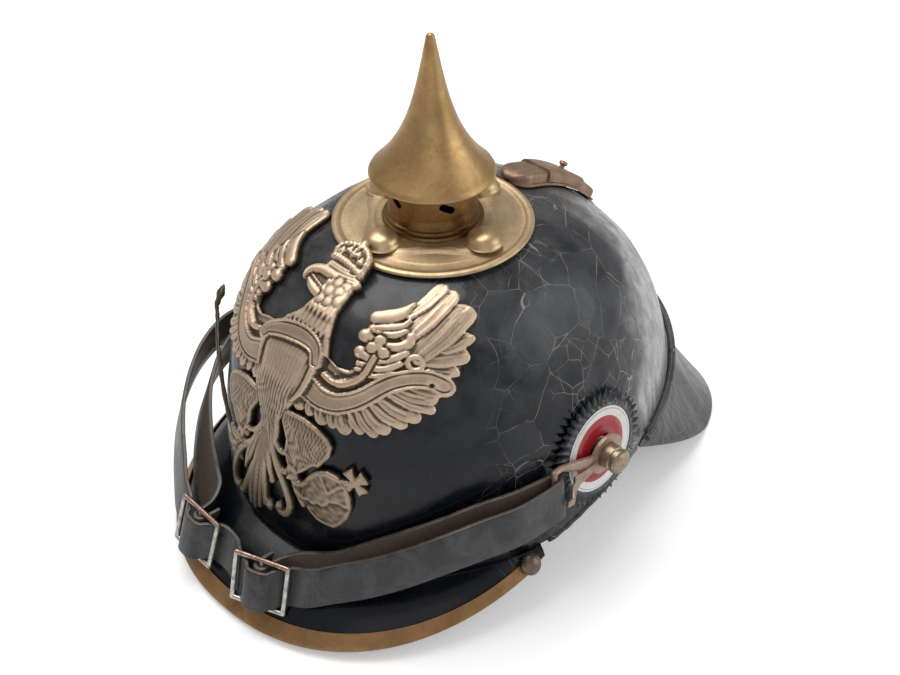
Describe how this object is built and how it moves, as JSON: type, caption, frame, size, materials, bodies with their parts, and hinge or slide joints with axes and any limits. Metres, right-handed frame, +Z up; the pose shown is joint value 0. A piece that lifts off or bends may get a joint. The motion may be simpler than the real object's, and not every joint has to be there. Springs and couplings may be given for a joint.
{
  "type": "spiked leather helmet",
  "caption": "Black leather military helmet with brass spike, eagle front plate, cockades, chin strap and vented rear spine.",
  "frame": {"origin": "bottom centre of the helmet's bounding box, where it stands on its visor and neck guard", "axes": "+Z up along the spike, the front visor points to -Y, the wearer's left side is +X"},
  "size_m": [0.216, 0.2942, 0.2371],
  "materials": {
    "black_leather": "black lacquered leather, glossy, crackled",
    "brass": "aged satin brass",
    "old_brass": "pale dull stamped brass",
    "copper_brass": "brown patinated brass",
    "steel": "worn plated steel",
    "tan_leather": "undyed tan leather, matt",
    "cockade_paint": "black, white and red enamel paint"
  },
  "bodies": {
    "helmet": {"skull": "black_leather", "front_visor": "black_leather", "neck_guard": "black_leather", "visor_trim": "brass", "trim_studs": "copper_brass", "guard_welt": "black_leather", "rear_spine": "copper_brass", "vent_track": "copper_brass", "spine_stud": "brass", "base_plate": "brass", "dome_studs": "brass", "stud_washers": "tan_leather", "spike_neck": "brass", "spike": "brass", "eagle_plate": "old_brass", "eagle_loops": "brass", "loop_wedges": "tan_leather", "cockade_left": "cockade_paint", "cockade_right": "cockade_paint", "side_posts": "brass", "post_nuts": "steel", "sweatband": "tan_leather", "liner_fingers": "tan_leather"},
    "chinstrap": {"lug_left": "copper_brass", "lug_right": "copper_brass", "chin_strap": "black_leather", "buckle_left": "steel", "buckle_right": "steel"},
    "vent": {"vent_slide": "copper_brass", "vent_knob": "brass"}
  },
  "joints": [
    {"name": "strap_swing", "type": "hinge", "parent": "helmet", "child": "chinstrap", "pos_m": [0, -0.00072, 0.0629], "axis": [-1, 0, 0], "range_deg": [0, 60]},
    {"name": "vent_slide_travel", "type": "hinge", "parent": "helmet", "child": "vent", "pos_m": [0, 0.01914, 0.05384], "axis": [-1, 0, 0], "range_deg": [0, 7]}
  ]
}
